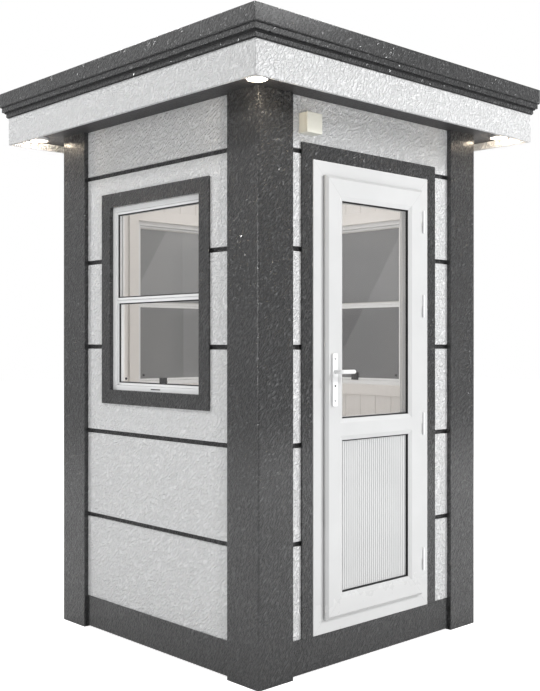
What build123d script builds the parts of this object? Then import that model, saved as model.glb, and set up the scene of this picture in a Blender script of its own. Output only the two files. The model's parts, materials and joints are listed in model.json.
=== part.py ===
from build123d import *
import os

# Modular guard cabin: a square hut with four corner posts, clad walls, three sliding windows,
# one glazed door and a flat roof with wide eaves. The origin is the middle of the base on the
# ground, +Z is up and the door faces -Y. All sizes are in millimetres.

# Plan over the posts' outer faces, and the height of the eaves' underside
cabin_width = 1500.0
cabin_depth = 1500.0
eaves_height = 2494.0

# Corner posts
post_face = 200.0
post_corner_radius = 8.0
post_edge_radius = 2.5

# Wall layers, counted inwards from the posts' outer faces
cladding_setback = 22.0
board_thickness = 12.0
core_thickness = 52.0
lining_thickness = 8.0

# Cladding boards
board_height = 401.0
board_groove = 21.0

# Plinth boards, rim beams, joists and floor
plinth_height = 158.0
plinth_ground_gap = 8.0
plinth_proud = 6.0
plinth_edge_radius = 2.0
joist_width = 60.0
joist_count = 5
joist_inset = 60.0
floor_thickness = 30.0

# Small gaps between pieces
fitting_gap = 0.5
mitre_gap = 0.4
pin_gap = 0.3

# Windows, one in the middle of each wall but the front
window_width = 690.0
window_height = 889.0
window_sill = 1203.5
surround_width = 69.0
surround_proud = 10.0
surround_return = 10.0
window_frame_face = 22.0
window_frame_depth = 50.0
upper_sash_face = 11.0
upper_sash_setback = 6.0
upper_sash_depth = 30.0
lower_sash_stile = 11.0
lower_sash_rail = 12.0
meeting_rail = 14.5
meeting_rail_top = 437.0
lower_sash_setback = 12.0
lower_sash_depth = 26.0
window_glass_thickness = 16.0
window_glass_setback = 8.0
latch_width = 40.0
latch_height = 42.0
latch_depth = 16.0
latch_edge_radius = 2.0
casing_width = 60.0
casing_thickness = 10.0

# Door frame and surround, which fill the front wall between two margins and below a third
door_left_margin = 65.0
door_right_margin = 110.0
door_head_drop = 265.0
door_frame_proud = 3.0
door_frame_depth = 70.0
door_frame_sight = 62.0
door_frame_overlap = 8.0
door_surround_width = 65.0
door_surround_head = 68.0
door_cladding_clearance = 30.0

# Door leaf
leaf_proud = 23.0
leaf_seal_gap = 5.0
leaf_rebate_gap = 12.0
leaf_body_depth = 56.0
leaf_stop_gap = 6.0
leaf_stop_overlap = 4.0
leaf_edge_bevel = 12.0
leaf_edge_bevel_depth = 10.0
leaf_rail = 105.0
leaf_middle_rail = 96.0
leaf_middle_rail_centre = 828.5
leaf_bead = 20.0
leaf_bead_depth = 8.0
leaf_inner_lip = 4.0
door_glass_thickness = 24.0
door_glass_setback = 11.0

# Ribbed lower panel of the door
rib_pitch = 14.0
rib_groove = 4.0
rib_groove_depth = 2.0

# Door handle
handle_edge_distance = 45.0
handle_plate_width = 32.0
handle_plate_height = 234.0
handle_plate_thickness = 8.0
handle_plate_radius = 7.0
handle_plate_edge_radius = 1.5
handle_axis_height = 1085.0
handle_plate_drop = 35.5
handle_reach = 46.0
lever_length = 88.0
lever_diameter = 19.0
lever_bend_radius = 16.0
spindle_diameter = 10.0
spindle_hole_diameter = 21.0
keyhole_drop = 62.0
keyhole_diameter = 10.0
keyhole_depth = 5.0

# Door hinges
hinge_axis_outset = 10.0
hinge_axis_setback = 6.0
hinge_barrel_diameter = 14.0
hinge_pin_diameter = 6.0
hinge_height = 102.0
hinge_split_gap = 1.0
hinge_leaf_arm_thickness = 5.0
hinge_frame_arm_width = 8.0
hinge_foot_heights = (170.0, 822.5)
hinge_head_drops = (559.0, 153.0)

# Roof deck, eaves and parapet
fascia_overhang = 202.0
fascia_thickness = 16.0
fascia_drop = 35.0
soffit_thickness = 12.0
deck_thickness = 96.0
cornice_overhangs = (212.0, 228.0, 236.0)
cornice_heights = (25.0, 28.0, 69.0)
cornice_inner_overhang = 100.0
cover_thickness = 62.0
cover_rise = 28.0
cover_peak = 40.0

# Downlights under the eaves
downlight_diameter = 93.0
downlight_height = 14.0
downlight_lens_diameter = 74.0
downlight_lens_recess = 3.0
downlight_edge = 3.0
downlight_out = 88.0

# Cable box above the door
box_width = 92.0
box_height = 88.0
box_depth = 52.0
box_post_distance = 54.0
box_head_drop = 75.0
box_edge_radius = 4.0
box_lid_depth = 12.0
box_lid_line = 2.0
box_lid_line_depth = 1.5

# Levels and planes worked out from the sizes above
core_face = cladding_setback + board_thickness
lining_face = core_face + core_thickness
room_face = lining_face + lining_thickness
surround_face = cladding_setback - surround_proud
roof_underside = eaves_height + soffit_thickness
deck_top = roof_underside + deck_thickness
deck_overhang = fascia_overhang - fascia_thickness
wall_base = plinth_height

# Each side of the cabin: its turn about Z, its length and the cabin's depth behind it
SIDES = {
    "front": (0.0, cabin_width, cabin_depth),
    "right": (90.0, cabin_depth, cabin_width),
    "rear": (180.0, cabin_width, cabin_depth),
    "left": (270.0, cabin_depth, cabin_width),
}
WINDOW_SIDES = ("left", "right", "rear")
LATCHED_SIDES = ("left", "right")


# A wall's own frame has u along the wall, v inwards from the posts' outer faces, and z up.
def on_side(side, shape):
    """Carry a shape from a wall's own frame to that side of the cabin."""
    turn, _, depth_behind = SIDES[side]
    return Rot(0, 0, turn) * (Pos(0, -depth_behind / 2, 0) * shape)


def block(u, v, z):
    """A block between two values along each axis."""
    size = [high - low for low, high in (u, v, z)]
    middle = [(high + low) / 2 for low, high in (u, v, z)]
    return Pos(*middle) * Box(*size)


def between_posts(side):
    """The two ends of a wall, where it meets its posts."""
    half = SIDES[side][1] / 2 - post_face
    return (-half, half)


def grown(limits, amount):
    """A pair of limits moved apart by an amount at each end."""
    return (limits[0] - amount, limits[1] + amount)


def edges_on(shape, axis, place):
    """The edges of a shape that lie in the plane at a place along an axis."""
    return shape.edges().filter_by_position(axis, place - 0.01, place + 0.01)


def tapered_block(u, z, bead, front, back):
    """A block with sloped sides, which is wider by a bead at its front than at its back."""
    mouth_u, mouth_z = grown(u, bead), grown(z, bead)
    sections = []
    for limits_u, limits_z, depth in ((mouth_u, mouth_z, front), (u, z, back)):
        width, height = limits_u[1] - limits_u[0], limits_z[1] - limits_z[0]
        centre = (sum(limits_u) / 2, depth, sum(limits_z) / 2)
        sections.append(Plane(centre, x_dir=(1, 0, 0), z_dir=(0, 1, 0)) * Rectangle(width, height))
    return loft(sections)


def ring(u, z, face, v):
    """A flat rectangular frame of one face width."""
    return block(u, v, z) - block(grown(u, -face), grown(v, 1), grown(z, -face))


def mitred_length(side, outer, inner, z):
    """A board round the roof, cut at 45 degrees at both ends, between two overhangs."""
    half = SIDES[side][1] / 2 - mitre_gap
    points = [
        (-half - outer, -outer),
        (half + outer, -outer),
        (half + inner, -inner),
        (-half - inner, -inner),
    ]
    plan = make_face(Polyline(*points, close=True))
    return Pos(0, 0, z[0]) * extrude(plan, z[1] - z[0])


# Window and door openings, as limits along the wall and up
window_u = (-window_width / 2, window_width / 2)
window_z = (window_sill, window_sill + window_height)
front_half = cabin_width / 2 - post_face - door_surround_width
frame_u = (-front_half + door_left_margin, front_half - door_right_margin)
frame_z = (wall_base, eaves_height - door_head_drop)
leaf_u = grown(frame_u, -door_frame_sight)
leaf_z = grown(frame_z, -door_frame_sight)
leaf_front = cladding_setback - surround_proud - door_frame_proud - leaf_proud
frame_front = cladding_setback - surround_proud - door_frame_proud
flange_back = frame_front - leaf_seal_gap
body_back = flange_back + leaf_body_depth


def corner_post():
    """An angle post with its outer corner at the origin and its legs along +X and +Y."""
    outline = Polyline(
        (0, 0),
        (post_face, 0),
        (post_face, lining_face),
        (lining_face, lining_face),
        (lining_face, post_face),
        (0, post_face),
        close=True,
    )
    post = extrude(make_face(outline), eaves_height)
    uprights = post.edges().filter_by(Axis.Z)
    corner = uprights.sort_by(lambda edge: edge.center().X + edge.center().Y)[0]
    post = fillet(corner, post_corner_radius)
    toes = [
        edge
        for edge in post.edges().filter_by(Axis.Z)
        if min(edge.center().X, edge.center().Y) < 0.01
        and max(edge.center().X, edge.center().Y) > post_face - 0.01
    ]
    return fillet(toes, post_edge_radius)


def posts():
    """The four corner posts, which carry the roof."""
    half_width, half_depth = cabin_width / 2, cabin_depth / 2
    places = {
        "front_left": (-half_width, -half_depth, 0),
        "front_right": (half_width, -half_depth, 90),
        "rear_right": (half_width, half_depth, 180),
        "rear_left": (-half_width, half_depth, 270),
    }
    post = corner_post()
    return {
        f"corner_post_{name}": Pos(x, y, 0) * (Rot(0, 0, turn) * post)
        for name, (x, y, turn) in places.items()
    }


def base_beams():
    """Four rim beams between the posts and the joists that carry the floor."""
    beams = [
        on_side(side, block(between_posts(side), (core_face, lining_face), (0, plinth_height)))
        for side in SIDES
    ]
    half_room = cabin_width / 2 - lining_face - joist_inset
    half_length = cabin_depth / 2 - lining_face - fitting_gap
    pitch = 2 * half_room / (joist_count - 1)
    for number in range(joist_count):
        middle = -half_room + number * pitch
        across = (middle - joist_width / 2, middle + joist_width / 2)
        beams.append(block(across, (-half_length, half_length), (0, plinth_height - floor_thickness)))
    return beams


def floor_panel():
    """The floor between the rim beams."""
    half_width, half_depth = cabin_width / 2 - lining_face, cabin_depth / 2 - lining_face
    level = (plinth_height - floor_thickness, plinth_height)
    return block((-half_width, half_width), (-half_depth, half_depth), level)


def plinth_boards():
    """The four plinth boards between the posts, a little proud of the cladding."""
    boards = []
    outer = cladding_setback - plinth_proud
    for side in SIDES:
        board = block(between_posts(side), (outer, core_face), (plinth_ground_gap, plinth_height))
        front_edges = edges_on(board, Axis.Y, outer).filter_by(Axis.X)
        board = fillet(front_edges, plinth_edge_radius)
        boards.append(on_side(side, board))
    return boards


def window_hole(v):
    """The hole for a window in a wall layer, behind the surround's return."""
    return block(grown(window_u, surround_return), v, grown(window_z, surround_return))


def frame_hole(v):
    """The hole for a window frame in the core and the lining, with its fitting gap."""
    rim = surround_return + fitting_gap
    return block(grown(window_u, rim), v, grown(window_z, rim))


def door_hole(v):
    """The hole for the door frame in a wall layer, with its fitting gap."""
    return block(grown(frame_u, fitting_gap), v, (frame_z[0] - fitting_gap, frame_z[1] + fitting_gap))


def cladding_hole(side, v):
    """The hole for a side's window or door in its cladding."""
    if side != "front":
        return window_hole(v)
    level = (frame_z[0] - fitting_gap, frame_z[1] + door_cladding_clearance)
    return block(grown(frame_u, fitting_gap), v, level)


def cladding(side):
    """The boards of one side, from the plinth to the eaves, cut round its opening."""
    depth = (cladding_setback, core_face)
    hole = cladding_hole(side, grown(depth, 1))
    boards = []
    bottom = wall_base
    while bottom < eaves_height:
        top = min(bottom + board_height, eaves_height)
        board = block(between_posts(side), depth, (bottom, top)) - hole
        boards += [on_side(side, solid) for solid in board.solids()]
        bottom += board_height + board_groove
    return boards


def walls():
    """The insulated cores of the walls, split beside and over the doorway."""
    depth = (core_face, lining_face)
    level = (wall_base, eaves_height)
    pieces = {}
    for side in WINDOW_SIDES:
        core = block(between_posts(side), depth, level) - frame_hole(grown(depth, 1))
        pieces[f"{side}_wall"] = on_side(side, core)
    left_end, right_end = between_posts("front")
    door_left, door_right = grown(frame_u, fitting_gap)
    over = (frame_z[1] + fitting_gap, eaves_height)
    pieces["front_wall_left"] = on_side("front", block((left_end, door_left), depth, level))
    pieces["front_wall_right"] = on_side("front", block((door_right, right_end), depth, level))
    pieces["front_wall_over_door"] = on_side("front", block((door_left, door_right), depth, over))
    return pieces


def lining():
    """The inner lining of the four walls, with hairline gaps at the room's corners."""
    sheets = []
    depth = (lining_face, room_face)
    level = (wall_base, eaves_height)
    for side in SIDES:
        behind = lining_face if side in ("front", "rear") else room_face
        half = SIDES[side][1] / 2 - behind - mitre_gap
        hole = door_hole(grown(depth, 1)) if side == "front" else frame_hole(grown(depth, 1))
        sheets.append(on_side(side, block((-half, half), depth, level) - hole))
    return sheets


def ceiling_panel():
    """The ceiling inside the walls, level with the soffit boards."""
    half_width = cabin_width / 2 - lining_face - fitting_gap
    half_depth = cabin_depth / 2 - lining_face - fitting_gap
    return block((-half_width, half_width), (-half_depth, half_depth), (eaves_height, roof_underside))


def roof_deck():
    """The insulated deck that rests on the posts, the walls and the soffit boards."""
    half_width, half_depth = cabin_width / 2 + deck_overhang, cabin_depth / 2 + deck_overhang
    return block((-half_width, half_width), (-half_depth, half_depth), (roof_underside, deck_top))


def roof_cover():
    """The roof's weather cover inside the parapet, rising a little to the middle."""
    half_width = cabin_width / 2 + cornice_inner_overhang - fitting_gap
    half_depth = cabin_depth / 2 + cornice_inner_overhang - fitting_gap
    edge_top = deck_top + cover_thickness
    slab = block((-half_width, half_width), (-half_depth, half_depth), (deck_top, edge_top))
    foot = Pos(0, 0, edge_top) * Rectangle(2 * half_width, 2 * half_depth)
    head = Pos(0, 0, edge_top + cover_rise) * Rectangle(cover_peak, cover_peak)
    return slab + loft([foot, head])


def soffit_boards():
    """The four soffit boards, which lie on the posts and walls and reach out to the fascia."""
    level = (eaves_height, roof_underside)
    return [on_side(side, mitred_length(side, deck_overhang, -lining_face, level)) for side in SIDES]


def fascia_boards():
    """The four fascia boards on the deck's edges, whose lower lip hides the soffit."""
    level = (eaves_height - fascia_drop, deck_top)
    return [on_side(side, mitred_length(side, fascia_overhang, deck_overhang, level)) for side in SIDES]


def cornice_boards():
    """The parapet: three bands, each stepping out over the one below."""
    lengths = []
    for side in SIDES:
        bottom = deck_top
        profile = None
        for overhang, height in zip(cornice_overhangs, cornice_heights):
            band = mitred_length(side, overhang, cornice_inner_overhang, (bottom, bottom + height))
            profile = band if profile is None else profile + band
            bottom += height
        lengths.append(on_side(side, profile))
    return lengths


def downlights():
    """One round surface lamp under each corner of the eaves."""
    rim, lens = downlight_diameter / 2, downlight_lens_diameter / 2
    half_section = Polyline(
        (0, 0),
        (rim, 0),
        (rim, -downlight_height + downlight_edge),
        (rim - downlight_edge, -downlight_height),
        (lens + downlight_edge, -downlight_height),
        (lens, -downlight_height + downlight_lens_recess),
        (0, -downlight_height + downlight_lens_recess),
        close=True,
    )
    lamp = revolve(make_face(Plane.XZ * half_section), Axis.Z)
    reach_x, reach_y = cabin_width / 2 + downlight_out, cabin_depth / 2 + downlight_out
    return [Pos(x, y, eaves_height) * lamp for x in (-reach_x, reach_x) for y in (-reach_y, reach_y)]


def cable_box():
    """The closed cable box above the door, with a line round its lid."""
    left = between_posts("front")[0] + box_post_distance
    top = eaves_height - box_head_drop
    u, z = (left, left + box_width), (top - box_height, top)
    front = cladding_setback - box_depth
    body = block(u, (front, cladding_setback), z)
    body = fillet(body.edges().filter_by(Axis.Y), box_edge_radius)
    body = fillet(edges_on(body, Axis.Y, front), box_edge_radius / 2)
    line_depth = (front + box_lid_depth, front + box_lid_depth + box_lid_line)
    line = block(grown(u, 1), line_depth, grown(z, 1))
    line -= block(grown(u, -box_lid_line_depth), grown(line_depth, 1), grown(z, -box_lid_line_depth))
    return on_side("front", body - line)


def surround_strip(length, width):
    """One strip of a window surround along +X: a flat face and a return into the opening.

    The strip's opening edge lies on the X axis and its outer edge is below it, so that four
    of them, turned and mitred, go round the window.
    """
    half = length / 2 - mitre_gap
    section = Polyline(
        (0, surround_face),
        (-width, surround_face),
        (-width, cladding_setback),
        (-surround_return, cladding_setback),
        (-surround_return, core_face),
        (0, core_face),
        close=True,
    )
    profile = make_face(Plane(origin=(0, 0, 0), x_dir=(0, 0, 1), z_dir=(-1, 0, 0)) * section)
    strip = extrude(profile, half + width, both=True)
    reach = half + 2 * width
    far = -2 * width
    keep = Polyline((-half, 0), (-half + far, far), (reach, far), (half, 0), close=True)
    cutter = extrude(make_face(Plane.XZ * keep), core_face + 1, both=True)
    return strip & cutter


def window_surround(side):
    """The dark surround of one window, in four mitred strips on the cladding."""
    middle = sum(window_z) / 2
    strips = []
    for turn, length, reach in (
        (0, window_width, window_height / 2),
        (90, window_height, window_width / 2),
        (180, window_width, window_height / 2),
        (270, window_height, window_width / 2),
    ):
        strip = Pos(0, 0, -reach) * surround_strip(length, surround_width)
        strips.append(on_side(side, Pos(0, 0, middle) * (Rot(0, turn, 0) * strip)))
    return strips


def window_frame(side):
    """The fixed frame of one window, seated in the core behind the surround."""
    u, z = grown(window_u, surround_return), grown(window_z, surround_return)
    depth = (core_face, core_face + window_frame_depth)
    return on_side(side, ring(u, z, window_frame_face + surround_return, depth))


# Clear opening inside a window frame, and the level where its two sashes meet
sash_u = grown(window_u, -window_frame_face - fitting_gap)
sash_z = grown(window_z, -window_frame_face - fitting_gap)
meeting_level = window_sill + meeting_rail_top
upper_pane_u = grown(sash_u, -upper_sash_face)
upper_pane_z = (meeting_level + fitting_gap + upper_sash_face, sash_z[1] - upper_sash_face)
lower_pane_u = grown(sash_u, -lower_sash_stile)
lower_pane_z = (sash_z[0] + lower_sash_rail, meeting_level - meeting_rail)


def window_sashes(side):
    """The upper and the lower sash of one window, which meet at the rail."""
    upper_front = core_face + upper_sash_setback
    upper_depth = (upper_front, upper_front + upper_sash_depth)
    upper = block(sash_u, upper_depth, (meeting_level + fitting_gap, sash_z[1]))
    upper -= block(upper_pane_u, grown(upper_depth, 1), upper_pane_z)
    lower_front = core_face + lower_sash_setback
    lower_depth = (lower_front, lower_front + lower_sash_depth)
    lower = block(sash_u, lower_depth, (sash_z[0], meeting_level))
    lower -= block(lower_pane_u, grown(lower_depth, 1), lower_pane_z)
    return [on_side(side, upper), on_side(side, lower)]


def window_glass():
    """The upper and the lower pane of every window."""
    panes = []
    for side in WINDOW_SIDES:
        for pane_u, pane_z, setback in (
            (upper_pane_u, upper_pane_z, upper_sash_setback),
            (lower_pane_u, lower_pane_z, lower_sash_setback),
        ):
            front = core_face + setback + window_glass_setback
            depth = (front, front + window_glass_thickness)
            pane = block(grown(pane_u, -fitting_gap / 2), depth, grown(pane_z, -fitting_gap / 2))
            panes.append(on_side(side, pane))
    return panes


def window_latches():
    """The latch on the room side of the bottom rail, on the two windows that open."""
    latches = []
    back = core_face + lower_sash_setback + lower_sash_depth
    for side in LATCHED_SIDES:
        level = (sash_z[0] + fitting_gap, sash_z[0] + fitting_gap + latch_height)
        latch = block((-latch_width / 2, latch_width / 2), (back, back + latch_depth), level)
        latch = fillet(edges_on(latch, Axis.Y, back + latch_depth), latch_edge_radius)
        latches.append(on_side(side, latch))
    return latches


def casings():
    """The casings round the windows and the doorway on the room side."""
    pieces = []
    face = (room_face, room_face + casing_thickness)
    for side in WINDOW_SIDES:
        outer_u, outer_z = grown(window_u, casing_width), grown(window_z, casing_width)
        flat = ring(outer_u, outer_z, casing_width, face)
        liner_u, liner_z = grown(window_u, surround_return), grown(window_z, surround_return)
        liner = ring(liner_u, liner_z, surround_return, (core_face + window_frame_depth, room_face))
        pieces.append(on_side(side, flat + liner))
    outer = block(grown(frame_u, casing_width), face, (wall_base, frame_z[1] + casing_width))
    inner = block(frame_u, grown(face, 1), (wall_base - 1, frame_z[1]))
    pieces.append(on_side("front", outer - inner))
    return pieces


def door_surround():
    """The dark surround at both sides of the door frame and over it."""
    depth = (surround_face, cladding_setback)
    outer_z = (wall_base, frame_z[1] + door_surround_head)
    outer = block(grown(frame_u, door_surround_width), depth, outer_z)
    return on_side("front", outer - door_hole(grown(depth, 1)))


def door_frame():
    """The door frame, whose stop at the back covers the edge of the leaf's body."""
    back = frame_front + door_frame_depth
    stop_front = body_back + leaf_stop_gap
    lip = door_frame_sight + door_frame_overlap
    stop = lip + leaf_rebate_gap + leaf_stop_overlap
    frame = block(frame_u, (frame_front, back), frame_z)
    frame -= block(grown(frame_u, -lip), (frame_front - 1, stop_front), grown(frame_z, -lip))
    frame -= block(grown(frame_u, -stop), (stop_front - 1, back + 1), grown(frame_z, -stop))
    return on_side("front", frame)


# Glass and panel openings of the leaf
pane_u = grown(leaf_u, -leaf_rail)
glass_z = (leaf_z[0] + leaf_middle_rail_centre + leaf_middle_rail / 2, leaf_z[1] - leaf_rail)
panel_z = (leaf_z[0] + leaf_rail, glass_z[0] - leaf_middle_rail)
glass_front = leaf_front + leaf_bead_depth + door_glass_setback
inner_bead_front = glass_front + door_glass_thickness + leaf_inner_lip


def door_leaf():
    """The leaf: a bevelled flange over the frame, a deep body within it and two openings.

    Each opening has a sloped bead on both faces, so that it narrows towards its infill.
    """
    bevel_back = leaf_front + leaf_edge_bevel_depth
    body_inset = door_frame_overlap + leaf_rebate_gap
    body_u, body_z = grown(leaf_u, -body_inset), grown(leaf_z, -body_inset)
    leaf = tapered_block(leaf_u, leaf_z, -leaf_edge_bevel, leaf_front, bevel_back)
    leaf += block(leaf_u, (bevel_back, flange_back), leaf_z)
    leaf += block(body_u, (flange_back, body_back), body_z)
    bead_back = leaf_front + leaf_bead_depth
    for opening_z in (glass_z, panel_z):
        leaf -= tapered_block(pane_u, opening_z, leaf_bead, leaf_front, bead_back)
        leaf -= block(pane_u, (bead_back, inner_bead_front), opening_z)
        leaf -= tapered_block(pane_u, opening_z, leaf_bead, body_back, inner_bead_front)
    leaf -= rod(handle_point(leaf_front), body_back - leaf_front, spindle_hole_diameter)
    return on_side("front", leaf)


def leaf_infill(opening_z):
    """A flat sheet in one opening of the leaf, in the wall's own frame."""
    depth = (glass_front, glass_front + door_glass_thickness)
    return block(grown(pane_u, -fitting_gap / 2), depth, grown(opening_z, -fitting_gap / 2))


def door_panel():
    """The leaf's lower panel, with evenly spaced grooves between its ribs."""
    panel = leaf_infill(panel_z)
    width = pane_u[1] - pane_u[0]
    count = round(width / rib_pitch) - 1
    pitch = width / (count + 1)
    level = grown(panel_z, 1)
    depth = (glass_front - rib_groove_depth, glass_front + rib_groove_depth)
    grooves = []
    for number in range(1, count + 1):
        middle = pane_u[0] + number * pitch
        groove = block((middle - rib_groove / 2, middle + rib_groove / 2), depth, level)
        grooves.append(groove)
    return on_side("front", panel - grooves)


def handle_point(v):
    """The point of the lever's axis at a depth v, in the wall's own frame."""
    return (leaf_u[0] + handle_edge_distance, v, leaf_z[0] + handle_axis_height)


def rod(start, length, diameter):
    """A round bar from a point inwards through the wall."""
    plane = Plane(origin=start, x_dir=(1, 0, 0), z_dir=(0, 1, 0))
    return plane * Cylinder(diameter / 2, length, align=(Align.CENTER, Align.CENTER, Align.MIN))


def handle_plate(inner, outer):
    """A long plate that lies on the leaf at one depth and faces the other."""
    u, _, z = handle_point(0)
    half_width, half_height = handle_plate_width / 2, handle_plate_height / 2
    middle = z - handle_plate_drop
    depth = (min(inner, outer), max(inner, outer))
    plate = block((u - half_width, u + half_width), depth, (middle - half_height, middle + half_height))
    plate = fillet(plate.edges().filter_by(Axis.Y), handle_plate_radius)
    plate = fillet(edges_on(plate, Axis.Y, outer), handle_plate_edge_radius)
    bore = rod(handle_point(depth[0] - 1), depth[1] - depth[0] + 2, lever_diameter + 2 * pin_gap)
    keyhole_start = outer if outer < inner else outer - keyhole_depth
    keyhole = rod((u, keyhole_start, z - keyhole_drop), keyhole_depth, keyhole_diameter)
    return on_side("front", plate - bore - keyhole)


def handle_plates():
    """The plates on both faces of the leaf."""
    return [
        handle_plate(leaf_front, leaf_front - handle_plate_thickness),
        handle_plate(body_back, body_back + handle_plate_thickness),
    ]


def lever_arm(root, reach):
    """One bent lever from its root at the leaf's face, with a round end."""
    u, v, z = handle_point(root)
    end = (u + lever_length - lever_diameter / 2, v + reach, z)
    path = FilletPolyline((u, v, z), (u, v + reach, z), end, radius=lever_bend_radius)
    section = Plane(origin=(u, v, z), z_dir=(0, reach, 0)) * Circle(lever_diameter / 2)
    return sweep(section, path) + Pos(*end) * Sphere(lever_diameter / 2)


def door_lever():
    """The two levers and the spindle that joins them through the leaf."""
    spindle = rod(handle_point(leaf_front), body_back - leaf_front, spindle_diameter)
    levers = spindle + lever_arm(leaf_front, -handle_reach) + lever_arm(body_back, handle_reach)
    return on_side("front", levers)


# Line of the door's hinges, in the wall's own frame
hinge_u = leaf_u[1] + hinge_axis_outset
hinge_v = leaf_front + hinge_axis_setback
hinge_levels = [leaf_z[0] + height for height in hinge_foot_heights]
hinge_levels += [leaf_z[1] - drop for drop in hinge_head_drops]


def upright(bottom, top, diameter):
    """A round bar on the hinge line between two levels."""
    bar = Cylinder(diameter / 2, top - bottom, align=(Align.CENTER, Align.CENTER, Align.MIN))
    return Pos(hinge_u, hinge_v, bottom) * bar


def hinge_frame_halves():
    """The lower half of each hinge, with its pin and the arm to the door frame."""
    halves = []
    for middle in hinge_levels:
        bottom, top = middle - hinge_height / 2, middle - hinge_split_gap / 2
        half = upright(bottom, top, hinge_barrel_diameter)
        arm = (hinge_u - hinge_frame_arm_width / 2, hinge_u + hinge_frame_arm_width / 2)
        half += block(arm, (hinge_v, frame_front), (bottom, top))
        half += upright(top, middle + hinge_height / 4, hinge_pin_diameter)
        halves.append(on_side("front", half))
    return halves


def hinge_leaf_halves():
    """The upper half of each hinge, with its arm to the leaf's edge and its bore for the pin."""
    halves = []
    arm_front = leaf_front + leaf_edge_bevel_depth
    arm = (arm_front, arm_front + hinge_leaf_arm_thickness)
    for middle in hinge_levels:
        bottom, top = middle + hinge_split_gap / 2, middle + hinge_height / 2
        half = upright(bottom, top, hinge_barrel_diameter)
        half += block((leaf_u[1], hinge_u), arm, (bottom, top))
        bore_top = middle + hinge_height / 4 + hinge_split_gap
        half -= upright(bottom, bore_top, hinge_pin_diameter + 2 * pin_gap)
        halves.append(on_side("front", half))
    return halves


pieces = {
    "base_beams": base_beams(),
    "floor_panel": floor_panel(),
    "plinth_boards": plinth_boards(),
    "inner_lining": lining(),
    "ceiling_panel": ceiling_panel(),
    "soffit_boards": soffit_boards(),
    "roof_deck": roof_deck(),
    "roof_cover": roof_cover(),
    "fascia_boards": fascia_boards(),
    "cornice_boards": cornice_boards(),
    "downlights": downlights(),
    "cable_box": cable_box(),
    "window_glass": window_glass(),
    "window_latches": window_latches(),
    "inner_casings": casings(),
    "door_surround": door_surround(),
    "door_frame": door_frame(),
    "door_leaf": door_leaf(),
    "door_glass": on_side("front", leaf_infill(glass_z)),
    "door_panel": door_panel(),
    "handle_plates": handle_plates(),
    "door_lever": door_lever(),
    "hinge_frame_halves": hinge_frame_halves(),
    "hinge_leaf_halves": hinge_leaf_halves(),
}
pieces.update(posts())
pieces.update(walls())
for side in SIDES:
    pieces[f"cladding_{side}"] = cladding(side)
for side in WINDOW_SIDES:
    pieces[f"window_surround_{side}"] = window_surround(side)
    pieces[f"window_frame_{side}"] = window_frame(side)
    pieces[f"window_sashes_{side}"] = window_sashes(side)

os.makedirs("parts", exist_ok=True)
for name, shape in pieces.items():
    solids = shape if isinstance(shape, list) else [shape]
    solids = [solid for item in solids for solid in item.solids()]
    node = solids[0] if len(solids) == 1 else Compound(children=solids)
    export_step(node, f"parts/{name}.step")
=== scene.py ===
"""Looks of the modular guard cabin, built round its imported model.

Every piece is made in the row frame, in metres: +Z is up and the door faces -Y. A wall's own
frame has u along the wall, v inwards from the corner posts' outer faces, and z up.
"""

from __future__ import annotations

import json
import logging
import math
from dataclasses import dataclass
from enum import Enum
from typing import Any, Iterable, Sequence, Union

import bmesh
import bpy
from mathutils import Matrix, Vector

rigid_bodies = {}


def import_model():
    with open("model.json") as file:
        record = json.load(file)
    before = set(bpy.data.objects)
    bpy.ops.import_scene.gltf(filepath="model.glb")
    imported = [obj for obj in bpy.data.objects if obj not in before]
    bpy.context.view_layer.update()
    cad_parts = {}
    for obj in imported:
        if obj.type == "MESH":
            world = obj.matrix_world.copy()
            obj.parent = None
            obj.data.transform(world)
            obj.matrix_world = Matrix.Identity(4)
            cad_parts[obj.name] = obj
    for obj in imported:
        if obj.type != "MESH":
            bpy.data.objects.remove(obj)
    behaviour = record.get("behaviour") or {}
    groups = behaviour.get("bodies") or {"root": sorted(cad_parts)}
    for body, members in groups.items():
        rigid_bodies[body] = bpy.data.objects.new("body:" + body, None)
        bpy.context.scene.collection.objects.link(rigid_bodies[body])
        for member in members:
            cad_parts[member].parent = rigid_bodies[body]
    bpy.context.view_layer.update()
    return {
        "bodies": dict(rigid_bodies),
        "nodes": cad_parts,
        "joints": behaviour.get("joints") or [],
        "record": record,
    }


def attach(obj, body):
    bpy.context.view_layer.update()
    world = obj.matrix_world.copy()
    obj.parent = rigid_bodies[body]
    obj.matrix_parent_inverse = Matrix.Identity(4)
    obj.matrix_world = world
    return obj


log = logging.getLogger("guard_cabin")

Limits = tuple[float, float]
Colour = tuple[float, float, float]

HALF_PLAN = 0.75
WALL_BASE = 0.158
EAVES = 2.494
CORNER_SIGNS = ((-1, -1), (1, -1), (1, 1), (-1, 1))


class Wall(Enum):
    """The four sides of the cabin, each with its turn about Z in degrees."""

    FRONT = 0
    RIGHT = 90
    REAR = 180
    LEFT = 270

    @property
    def matrix(self) -> Matrix:
        """The move from this wall's own frame to the row frame."""
        turn = Matrix.Rotation(math.radians(self.value), 4, "Z")
        return turn @ Matrix.Translation((0, -HALF_PLAN, 0))

    @property
    def label(self) -> str:
        """The side's name as the model's nodes give it."""
        return self.name.lower()

    @property
    def along(self) -> int:
        """The row axis that runs along this wall, 0 for X and 1 for Y."""
        return 0 if self in (Wall.FRONT, Wall.REAR) else 1


WINDOW_WALLS = (Wall.LEFT, Wall.RIGHT, Wall.REAR)


def grown(limits: Limits, amount: float) -> Limits:
    """A pair of limits moved apart by an amount at each end."""
    return (limits[0] - amount, limits[1] + amount)


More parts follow.
